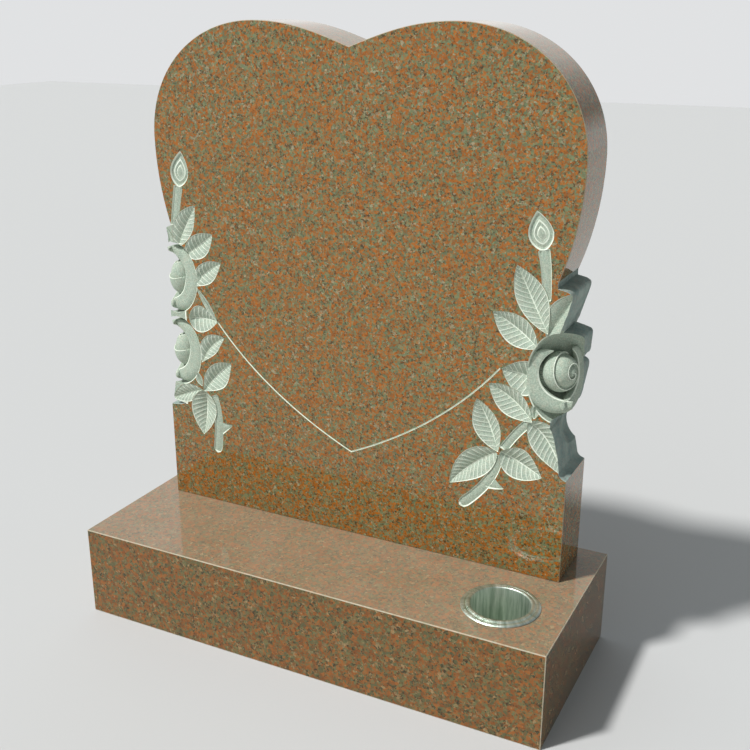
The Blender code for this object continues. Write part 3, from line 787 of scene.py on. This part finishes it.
def draw_in(ring, width):
    """Moves a closed ring of the outline inwards by an even width."""
    count = len(ring)
    places = [vertex.co.copy() for vertex in ring]
    area = sum(a.x * b.z - b.x * a.z for a, b in zip(places, places[1:] + places[:1]))
    turn = 1.0 if area > 0 else -1.0
    for index, vertex in enumerate(ring):
        ahead = places[(index + 1) % count] - places[index]
        behind = places[index] - places[index - 1]
        along = (ahead.normalized() + behind.normalized()).normalized()
        inwards = Vector((-along.z, 0.0, along.x)) * turn
        vertex.co = places[index] + inwards * width


# Carving on the face

def corner_point(side, inset, depth, height):
    """A point by its distances from the tablet's side, its face and its foot."""
    return Vector((side * (HALF_WIDTH - inset), FRONT + depth, FOOT + height))


def close_above(bm):
    """Closes a sunk sheet into a cutter by drawing it out in front of the face."""
    above = bmesh.ops.extrude_face_region(bm, geom=bm.faces[:])
    for item in above["geom"]:
        if isinstance(item, bmesh.types.BMVert):
            item.co.y = FRONT - STANDOFF


def finish_faces(bm, slot):
    """Gives every face one of the tablet's finishes."""
    for face in bm.faces:
        face.material_index = slot


def cutter_object(bm, name, group, materials):
    cutter = bpy.data.objects.new(name, mesh_from(bm, name))
    for material in materials:
        cutter.data.materials.append(material)
    group.objects.link(cutter)
    return cutter


def across_line(line, u):
    """The direction square to a centre line, at a place along it."""
    ahead = line(min(u + NUDGE, 1.0)) - line(max(u - NUDGE, 0.0))
    return Vector((-ahead.y, ahead.x)).normalized()


def sunk_blade(name, side, line, widths, depth, rows, columns, mark, group, materials,
               slant=0.0):
    """A cutter along a centre line: line(u) is a place (inset, height), widths(u) its half
    widths, depth(u, v, row) the floor and mark(row, column) the material of each face. A slant
    draws the rows forward towards the edges, as a leaf's side veins run."""
    bm = bmesh.new()
    row_count, column_count = len(rows) - 1, len(columns) - 1
    bmesh.ops.create_grid(bm, x_segments=row_count, y_segments=column_count, size=1.0)
    for face in bm.faces:
        middle = face.calc_center_median()
        row = int((middle.x + 1.0) / 2 * row_count)
        column = int((middle.y + 1.0) / 2 * column_count)
        face.material_index = mark(row, column)
    for vertex in bm.verts:
        row = round((vertex.co.x + 1.0) / 2 * row_count)
        column = round((vertex.co.y + 1.0) / 2 * column_count)
        u, v = rows[row], columns[column]
        u += slant * abs(v) * 4 * u * (1 - u)
        left, right = widths(u)
        place = line(u) + across_line(line, u) * (v * (left if v > 0 else right))
        vertex.co = corner_point(side, place.x, depth(u, v, row), place.y)
    close_above(bm)
    return cutter_object(bm, name, group, materials)


def leaf_profile(u, belly):
    """Width of a leaf along its length, from 0 at the base to 1 at the belly."""
    bent = min(max(u, 0.0), 1.0) ** (math.log(0.5) / math.log(belly))
    return abs(math.sin(math.pi * bent)) ** LEAF_FULLNESS


def bowed_line(base, tip, bend):
    start, end = Vector(base), Vector(tip)
    along = (end - start).normalized()
    sideways = Vector((-along.y, along.x)) * bend
    return lambda u: start.lerp(end, u) + sideways * (4 * u * (1 - u))


def leaf_rows(length):
    """Places along a leaf: a few rows for each vein, as VEIN_ROWS gives them."""
    veins = max(2, round(length / VEIN_SPACING))
    rows = [(vein + part) / veins for vein in range(veins) for part in VEIN_ROWS]
    return rows + [1.0]


def leaf_line_and_widths(leaf):
    def widths(u):
        share = leaf_profile(u, leaf.belly)
        return (max(leaf.right * share, BLADE_END_WIDTH),
                max(leaf.left * share, BLADE_END_WIDTH))

    return bowed_line(leaf.base, leaf.tip, -leaf.bend), widths


def cut_leaf(side, leaf, group, materials):
    line, widths = leaf_line_and_widths(leaf)
    rows = leaf_rows((Vector(leaf.tip) - Vector(leaf.base)).length)
    per_vein = len(VEIN_ROWS)
    plain = leaf.name in PLAIN_LEAVES

    def depth(u, v, row):
        if abs(v) == 1.0 or row in (0, len(rows) - 1):
            return FLARE
        share = leaf_profile(u, leaf.belly)
        half_width = (leaf.left + leaf.right) / 2 * share
        across = abs(v) / LEAF_RIM_EDGE
        floor = LEAF_RIM_DEPTH + LEAF_VALLEY_SLOPE * half_width * (1.0 - across)
        floor -= LEAF_SWELL * share * math.sin(math.pi * across)
        if abs(v) < MIDRIB_HALF_WIDTH * 0.5:
            floor -= MIDRIB_RISE * min(1.0, share * MIDRIB_GROWTH)
        if row % per_vein in (0, 1) and not plain:
            crest = math.sin(math.pi * min(across, 1.0)) ** VEIN_FULLNESS
            floor -= VEIN_RISE * share * crest
        return max(floor, LEAF_RIM_DEPTH * min(1.0, share * FLOOR_GROWTH))

    last = len(LEAF_COLUMNS) - 2
    middle = len(LEAF_COLUMNS) // 2

    def mark(row, column):
        on_rim = column in (0, last) or row in (0, len(rows) - 2)
        on_midrib = column in (middle - 1, middle) and not plain
        on_vein = row % per_vein == 0 and not plain
        return PALE_LINE if on_rim or on_midrib or on_vein else FROSTED

    return sunk_blade(f"{leaf.name}_cut", side, line, widths, depth, rows, LEAF_COLUMNS,
                      mark, group, materials, VEIN_SLANT)


def leaf_block(side, leaf, group, materials):
    """A deep block of a leaf's outline, which trims what lies behind the leaf."""
    line, widths = leaf_line_and_widths(leaf)
    rows = leaf_rows((Vector(leaf.tip) - Vector(leaf.base)).length)
    return sunk_blade(f"{leaf.name}_block", side, line, widths, lambda u, v, row: TRIM_DEPTH,
                      rows, (-1.0, 0.0, 1.0), lambda row, column: FROSTED, group, materials)


def cut_stem(side, stem, group, materials, rounded):
    start, middle, end = Vector(stem.start), Vector(stem.middle), Vector(stem.end)
    rows = [index / STEM_ROWS for index in range(STEM_ROWS + 1)]

    def line(u):
        s = 1.0 - u
        return start * s * s + middle * (2 * s * u) + end * u * u

    def widths(u):
        half = (stem.width_start + (stem.width_end - stem.width_start) * u) / 2
        if rounded and u > 1.0 - STEM_ROUND:
            past = (u - 1.0 + STEM_ROUND) / STEM_ROUND
            half *= math.sqrt(max(1.0 - past * past, STEM_BLUNT))
        return half, half

    def depth(u, v, row):
        if abs(v) == 1.0 or row in (0, STEM_ROWS):
            return FLARE
        return STEM_GROOVE - STEM_CROWN * (1.0 - v * v)

    def mark(row, column):
        on_rim = column in (0, len(STEM_COLUMNS) - 2) or row in (0, STEM_ROWS - 1)
        return PALE_LINE if on_rim else FROSTED

    return sunk_blade(f"{stem.name}_cut", side, line, widths, depth, rows, STEM_COLUMNS,
                      mark, group, materials)


def cut_bud(side, bud, group, materials):
    """A bud: rings of its teardrop outline, drawn in towards its heart."""
    line = bowed_line(bud.base, bud.tip, bud.bend)
    heart = line(BUD_CENTRE)
    bm = bmesh.new()
    for ring in BUD_RINGS:
        bm.verts.new((ring, 0.0, 0.0))
    bm.verts.ensure_lookup_table()
    spokes = [bm.edges.new((a, b)) for a, b in zip(bm.verts[:-1], bm.verts[1:])]
    bmesh.ops.spin(bm, geom=bm.verts[:] + spokes, axis=(0.0, 0.0, 1.0), angle=math.tau,
                   steps=BUD_SEGMENTS, use_merge=True)
    bmesh.ops.remove_doubles(bm, verts=bm.verts, dist=0.0001)
    for face in bm.faces:
        reach = face.calc_center_median().length
        ring = next(i for i in range(len(BUD_RINGS) - 1) if reach > BUD_RINGS[i + 1] * 0.995)
        face.material_index = PALE_LINE if ring in BUD_LINE_RINGS else FROSTED
    for vertex in bm.verts:
        reach = math.hypot(vertex.co.x, vertex.co.y)
        turn = math.atan2(vertex.co.y, vertex.co.x)
        u = (1.0 + math.cos(turn)) / 2
        width = max(leaf_profile(u, bud.belly) * bud.left, BLADE_END_WIDTH)
        place = line(u) + across_line(line, u) * math.copysign(width, math.sin(turn))
        if abs(math.sin(turn)) < 0.001:
            place = line(u)
        place = heart.lerp(place, reach)
        ring = min(range(len(BUD_RINGS)), key=lambda index: abs(BUD_RINGS[index] - reach))
        vertex.co = corner_point(side, place.x, BUD_DEPTHS[ring], place.y)
    close_above(bm)
    return cutter_object(bm, "bud_cut", group, materials)


def leaf_named(name, leaves):
    return next(leaf for leaf in leaves if leaf.name == name)


def pale_thread(name, points, radius, group, materials):
    """A thin round tube along a line of points, in the finish of a tool line."""
    curve = bpy.data.curves.new(name, "CURVE")
    curve.dimensions = "3D"
    curve.bevel_depth = radius
    curve.bevel_resolution = 1
    curve.use_fill_caps = True
    spline = curve.splines.new("POLY")
    spline.points.add(len(points) - 1)
    for knot, point in zip(spline.points, points):
        knot.co = (*point, 1.0)
    thing = bpy.data.objects.new(name, curve)
    bpy.context.scene.collection.objects.link(thing)
    bpy.context.view_layer.update()
    graph = bpy.context.evaluated_depsgraph_get()
    mesh = bpy.data.meshes.new_from_object(thing.evaluated_get(graph))
    bpy.data.objects.remove(thing, do_unlink=True)
    bm = bmesh.new()
    bm.from_mesh(mesh)
    bmesh.ops.remove_doubles(bm, verts=bm.verts, dist=0.00001)
    finish_faces(bm, PALE_LINE)
    cutter_object(bm, name, group, materials)


def cut_heart_line(group, materials):
    """The engraved line that finishes the heart across the foot."""
    flank = flank_curve()
    route = []
    for side, leaves in ((1.0, RIGHT_LEAVES), (-1.0, LEFT_LEAVES)):
        start = flank_step(leaf_named("sepal", leaves).tip[1])
        half = [bezier(flank, start + (1.0 - start) * i / LINE_STEPS)
                for i in range(LINE_STEPS + 1)]
        half = [Vector((side * point.x, FRONT + LINE_SINK, FOOT + point.y)) for point in half]
        route += half if side > 0 else list(reversed(half[:-1]))
    pale_thread("heart_line_cut", route, LINE_RADIUS, group, materials)


# Roses at the corners

def ball_mesh(segments):
    bm = bmesh.new()
    bmesh.ops.create_uvsphere(bm, u_segments=segments, v_segments=segments // 2, radius=1.0)
    return bm


def place_ball(bm, side, inset, depth, height, scale, turn):
    shape = Matrix.Diagonal((*scale, 1.0))
    swing = Matrix.Rotation(turn, 4, "Z")
    place = Matrix.Translation((inset, depth, height))
    bmesh.ops.transform(bm, matrix=place @ swing @ shape, verts=bm.verts)
    for vertex in bm.verts:
        vertex.co = corner_point(side, *vertex.co)


def rose_bowl(side, rose, group, materials):
    bm = ball_mesh(BOWL_SEGMENTS)
    bowl = rose.bowl
    place_ball(bm, side, BOWL_INSET, BOWL_INSET, rose.height + bowl.rise,
               (bowl.deep, bowl.wide, bowl.tall), BOWL_TURN)
    finish_faces(bm, FROSTED)
    cutter_object(bm, f"{rose.name}_bowl", group, materials)


def cut_bowl_rim(side, rose, group, materials):
    """A pale line along the bowl's edge on the face."""
    deep, wide = rose.bowl.deep * math.sqrt(2), rose.bowl.wide * math.sqrt(2)
    middle = rose.height + rose.bowl.rise
    upper, lower = [], []
    for index in range(BOWL_RIM_STEPS + 1):
        inset = BOWL_RIM_REACH * math.sin(math.pi / 2 * index / BOWL_RIM_STEPS)
        along, across = inset - 2 * BOWL_INSET, inset
        rest = 1.0 - (along / deep) ** 2 - (across / wide) ** 2
        if rest < 0.0:
            break
        half_height = rose.bowl.tall * math.sqrt(rest)
        upper.append(corner_point(side, inset, LINE_SINK, middle + half_height))
        lower.append(corner_point(side, inset, LINE_SINK, middle - half_height))
    pale_thread(f"{rose.name}_rim", upper + list(reversed(lower)), BOWL_RIM_RADIUS, group,
                materials)


def petal_wind(point, pitch):
    """How far a point of the heart lies across its petal, from 0 to 1 at the petal's edge."""
    polar = math.acos(max(-1.0, min(1.0, point.normalized().z)))
    around = math.atan2(point.y, point.x) / math.tau
    wind = (polar / pitch) ** PETAL_SPREAD - around
    return 1.0 - (wind - math.floor(wind))


def spiral_bud(side, rose, group, materials):
    """The rose's heart: a ball wound in petals that step down from one to the next."""
    bm = ball_mesh(PETAL_SEGMENTS)
    outwards, upwards, turn, pitch = (math.radians(angle) for angle in rose.wind[:4])
    aim = (Matrix.Rotation(-outwards, 3, "Z") @ Matrix.Rotation(math.pi / 2 - upwards, 3, "X")
           @ Matrix.Rotation(turn, 3, "Z"))
    finish_faces(bm, FROSTED)
    for vertex in bm.verts:
        fade = min(1.0, math.acos(max(-1.0, min(1.0, vertex.co.z))) / PETAL_FADE)
        fall = (1.0 - petal_wind(vertex.co, pitch)) ** PETAL_HOLLOW
        vertex.co *= 1.0 - PETAL_STEP * fade * fall
        vertex.co = aim @ vertex.co
    heart = rose.heart
    size = (heart.wide, heart.deep, heart.tall)
    place_ball(bm, side, heart.inset, heart.depth, rose.height, size, 0.0)
    cutter_object(bm, f"{rose.name}_heart", group, materials)
    thread = []
    for index in range(THREAD_STEPS + 1):
        wind = THREAD_START + (rose.wind.turns - THREAD_START) * index / THREAD_STEPS
        polar = pitch * wind ** (1.0 / PETAL_SPREAD)
        around = math.tau * wind
        point = Vector((math.sin(polar) * math.cos(around), math.sin(polar) * math.sin(around),
                        math.cos(polar)))
        point = aim @ (point * THREAD_SEAT)
        thread.append(corner_point(side, heart.inset + point.x * heart.wide,
                                   heart.depth + point.y * heart.deep,
                                   rose.height + point.z * heart.tall))
    pale_thread(f"{rose.name}_petal_edge", thread, THREAD_RADIUS, group, materials)


def from_lip_edge(turn):
    """Angle between a side of the lip's section and its sharp edge."""
    return math.remainder(turn - LIP_EDGE, math.tau)


def lip_petal(side, rose, on_side_face, group, materials):
    """A crescent petal: a ball drawn out along an arc just under the tablet's face."""
    bm = bmesh.new()
    around, along = LIP_SEGMENTS
    bmesh.ops.create_uvsphere(bm, u_segments=around, v_segments=along, radius=1.0)
    lip = rose.lip
    middle_inset = rose.heart.depth if on_side_face else rose.heart.inset
    start, end = math.radians(lip.start), math.radians(lip.end)
    for face in bm.faces:
        middle = face.calc_center_median()
        near_edge = abs(from_lip_edge(math.atan2(middle.y, middle.x))) < LIP_LINE_SPAN
        face.material_index = PALE_LINE if near_edge else FROSTED
    for vertex in bm.verts:
        share = math.acos(max(-1.0, min(1.0, vertex.co.z))) / math.pi
        swell = abs(math.sin(math.pi * share ** LIP_BELLY)) ** lip.fullness
        turn = math.atan2(vertex.co.y, vertex.co.x)
        swell *= 1.0 + LIP_EDGE_SHARP * math.exp(-(from_lip_edge(turn) / LIP_EDGE_SPAN) ** 2)
        angle = start + (end - start) * share
        radius = lip.radius + lip.rise * (1.0 - share) ** 3
        radius += lip.spread * share ** 2 + lip.width * swell * math.cos(turn)
        depth = lip.depth + lip.thickness * swell * math.sin(turn)
        inset = min(max(middle_inset + radius * math.cos(angle), BLOCK_SKIN), lip.reach)
        if on_side_face:
            inset, depth = depth + SIDE_LIP_DROP, inset
        vertex.co = corner_point(side, inset, depth, rose.height + radius * math.sin(angle))
    name = f"{rose.name}_side_lip" if on_side_face else f"{rose.name}_lip"
    cutter_object(bm, name, group, materials)


def trim_behind(cutters, blocks):
    """Each cutter is trimmed by the outline blocks of the leaves in front of it."""
    for index, cutter in enumerate(cutters):
        for block in blocks[:index]:
            join_solid(cutter, "DIFFERENCE", block)
    for cutter in cutters:
        settle(cutter)


def carve_side(spray, cuts, raised, materials):
    side = spray.side
    blocks = workbench("leaf blocks")
    cutters = [cut_leaf(side, leaf, cuts, materials) for leaf in spray.leaves]
    leaf_blocks = [leaf_block(side, leaf, blocks, materials) for leaf in spray.leaves]
    for stem in spray.stems:
        cutters.append(cut_stem(side, stem, cuts, materials, rounded=stem.name == "stalk"))
    cutters.append(cut_stem(side, spray.thorn, cuts, materials, rounded=False))
    if spray.ground:
        cutters.append(cut_stem(side, spray.ground, cuts, materials, rounded=True))
    trim_behind(cutters, leaf_blocks)
    clear_away(blocks)
    cut_bud(side, spray.bud, cuts, materials)
    for rose in spray.roses:
        rose_bowl(side, rose, cuts, materials)
        cut_bowl_rim(side, rose, cuts, materials)
        spiral_bud(side, rose, raised, materials)
        lip_petal(side, rose, False, raised, materials)
        lip_petal(side, rose, True, raised, materials)


def carved_tablet():
    granite = polished_granite("tablet granite", 225.0, TABLET_MINERALS)
    materials = [granite, frosted_granite(), pale_line(), hewn_granite(),
                 chipped_highlit_arris("tablet arris", stone_share=0.62)]
    tablet = tablet_blank(materials)
    cuts = workbench("carving")
    raised = workbench("rose forms")
    carve_side(RIGHT_SPRAY, cuts, raised, materials)
    carve_side(LEFT_SPRAY, cuts, raised, materials)
    cut_heart_line(cuts, materials)
    hollow = ball_mesh(SIDE_HOLLOW_SEGMENTS)
    place_ball(hollow, 1.0, *SIDE_HOLLOW, SIDE_HOLLOW_SIZE, 0.0)
    finish_faces(hollow, HEWN)
    cutter_object(hollow, "side_hollow", cuts, materials)
    join_solid(tablet, "DIFFERENCE", cuts)
    join_solid(tablet, "UNION", raised)
    settle(tablet)
    clear_away(cuts)
    clear_away(raised)
    smooth_by_angle(tablet.data, TABLET_SMOOTH_ANGLE)
    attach(tablet, "root")
    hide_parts("heart_tablet")


# Base and vase

BASE_ARRIS = 0.0015
BASE_SMOOTH_ANGLE = 15.0
BORE_CLEARANCE = 0.0015
BORE_SEGMENTS = 96
VASE_MOUTH_RADIUS = 0.050
VASE_WALL = 0.0015
VASE_SEGMENTS = 128
VASE_SMOOTH_ANGLE = 45.0
FLANGE_GAP = 0.0003


def base_block():
    bm = bmesh.new()
    bmesh.ops.create_cube(bm, size=1.0)
    size = BASE_HIGH - BASE_LOW
    middle = (BASE_HIGH + BASE_LOW) / 2
    bmesh.ops.transform(bm, matrix=Matrix.Translation(middle) @ Matrix.Diagonal((*size, 1.0)),
                        verts=bm.verts)
    # the bevel's faces take the arris finish, with its painted highlight
    arris_bevel = bmesh.ops.bevel(bm, geom=bm.edges[:], offset=BASE_ARRIS, offset_type="OFFSET",
                           segments=2, profile=0.5, affect="EDGES", material=-1)
    for face in arris_bevel["faces"]:
        face.material_index = 1
    granite = polished_granite("base granite", 170.0, BASE_MINERALS)
    materials = [granite, chipped_highlit_arris("base arris", stone_share=0.38)]
    base = shown_object("base_block", mesh_from(bm, "base_block"), materials)
    bore_radius = VASE_MOUTH_RADIUS + VASE_WALL + BORE_CLEARANCE
    bench = workbench("bore")
    bore = bmesh.new()
    depth = BASE_HIGH.z - VASE_LOW.z + BORE_CLEARANCE
    place = Matrix.Translation((VASE_X, VASE_Y, BASE_HIGH.z))
    bmesh.ops.create_cone(bore, cap_ends=True, segments=BORE_SEGMENTS, radius1=bore_radius,
                          radius2=bore_radius, depth=2 * depth, matrix=place)
    cutter = cutter_object(bore, "vase_bore", bench, list(base.data.materials))
    join_solid(base, "DIFFERENCE", cutter)
    settle(base)
    clear_away(bench)
    smooth_by_angle(base.data, BASE_SMOOTH_ANGLE)
    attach(base, "root")
    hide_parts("base")


def flower_vase():
    """A turned profile: cup, rolled bead, groove and flange."""
    mouth = VASE_MOUTH_RADIUS
    floor = VASE_LOW.z
    top = VASE_HIGH.z
    rest = BASE_HIGH.z + FLANGE_GAP
    flange = (VASE_HIGH.x - VASE_LOW.x) / 2
    profile = (
        (0.0, floor + 0.0022), (0.020, floor + 0.0018), (mouth - 0.006, floor + 0.0018),
        (mouth - 0.002, floor + 0.0030), (mouth - 0.0003, floor + 0.0070),
        (mouth, floor + 0.012), (mouth, top - 0.0022), (mouth + 0.0006, top - 0.0008),
        (mouth + 0.0018, top), (mouth + 0.0050, top), (mouth + 0.0066, top - 0.0006),
        (mouth + 0.0074, top - 0.0024), (mouth + 0.0080, top - 0.0026),
        (mouth + 0.0086, top - 0.0020), (mouth + 0.0100, top - 0.0014),
        (flange - 0.0030, top - 0.0020), (flange - 0.0010, top - 0.0028),
        (flange, top - 0.0040), (flange - 0.0004, rest), (mouth + VASE_WALL, rest),
        (mouth + VASE_WALL, floor + 0.012), (mouth + 0.0006, floor + 0.0050),
        (mouth - 0.003, floor + 0.0006), (mouth - 0.006, floor), (0.0, floor),
    )
    bm = bmesh.new()
    points = [bm.verts.new((VASE_X + radius, VASE_Y, height)) for radius, height in profile]
    edges = [bm.edges.new(pair) for pair in zip(points[:-1], points[1:])]
    bmesh.ops.spin(bm, geom=points + edges, axis=(0.0, 0.0, 1.0), cent=(VASE_X, VASE_Y, 0.0),
                   angle=math.tau, steps=VASE_SEGMENTS, use_merge=True)
    bmesh.ops.remove_doubles(bm, verts=bm.verts, dist=0.00005)
    vase = shown_object("vase_shell", mesh_from(bm, "vase_shell"), [turned_steel()])
    smooth_by_angle(vase.data, VASE_SMOOTH_ANGLE)
    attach(vase, "root")
    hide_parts("flower_vase")


# Studio

CAMERA_PLACE = (0.8225, -1.4976, 1.0972)
CAMERA_TURN = (math.radians(90.0 - 19.42), 0.0, math.radians(27.004))
CAMERA_LENS = 49.85
CAMERA_SHIFT = (0.0064, 0.0027)
FLOOR_SIZE = 12.0
FLOOR_COLOUR = (0.58, 0.58, 0.57, 1.0)
SUN_STRENGTH = 3.3
SUN_SPREAD = math.radians(6.0)
SUN_TURN = (math.radians(36.0), 0.0, math.radians(-41.0))

# The soft light round the stone, and the ranges over which one part fades into the next
HAZE = (0.75, 0.76, 0.77, 1.0)
HORIZON = (0.98, 0.99, 1.0, 1.0)
ZENITH = (0.28, 0.31, 0.33, 1.0)
SHADE = (0.14, 0.16, 0.17, 1.0)
HAZE_TO_HORIZON = (0.02, 0.12)
HORIZON_TO_ZENITH = (0.15, 0.80)
SHADE_FROM_RIGHT = (0.0, 0.28)
SHADE_SHARE = 0.92


def pale_floor():
    bm = bmesh.new()
    bmesh.ops.create_grid(bm, x_segments=1, y_segments=1, size=FLOOR_SIZE)
    floor = bpy.data.objects.new("floor", mesh_from(bm, "floor"))
    bpy.context.scene.collection.objects.link(floor)
    material, _, shader, _ = new_material("pale floor")
    shader.inputs["Base Color"].default_value = FLOOR_COLOUR
    shader.inputs["Roughness"].default_value = 0.9
    floor.data.materials.append(material)


def camera_and_sun():
    camera = bpy.data.cameras.new("camera")
    camera.lens = CAMERA_LENS
    camera.shift_x, camera.shift_y = CAMERA_SHIFT
    eye = bpy.data.objects.new("camera", camera)
    eye.location = CAMERA_PLACE
    eye.rotation_euler = CAMERA_TURN
    bpy.context.scene.collection.objects.link(eye)
    bpy.context.scene.camera = eye

    sun = bpy.data.lights.new("key", "SUN")
    sun.energy = SUN_STRENGTH
    sun.angle = SUN_SPREAD
    key = bpy.data.objects.new("key", sun)
    key.rotation_euler = SUN_TURN
    bpy.context.scene.collection.objects.link(key)


def soft_surround():
    """Light from all round: pale low down, darker overhead and to the right."""
    world = bpy.data.worlds.new("studio")
    bpy.context.scene.world = world
    world.use_nodes = True
    tree = Tree(world.node_tree)
    background = world.node_tree.nodes["Background"]
    sky = tree.add("ShaderNodeTexCoord").outputs["Generated"]
    parts = tree.add("ShaderNodeSeparateXYZ")
    tree.feed(sky, parts.inputs["Vector"])
    height = tree.spread(parts.outputs["Z"], *HORIZON_TO_ZENITH)
    above_floor = tree.spread(parts.outputs["Z"], *HAZE_TO_HORIZON)
    to_right = tree.spread(parts.outputs["X"], *SHADE_FROM_RIGHT, 0.0, SHADE_SHARE)
    glow = tree.mix(height, HORIZON, ZENITH)
    glow = tree.mix(to_right, glow, SHADE)
    tree.feed(tree.mix(above_floor, HAZE, glow), background.inputs["Color"])
    bpy.context.scene.view_settings.view_transform = "Standard"


carved_tablet()
base_block()
flower_vase()
pale_floor()
camera_and_sun()
soft_surround()
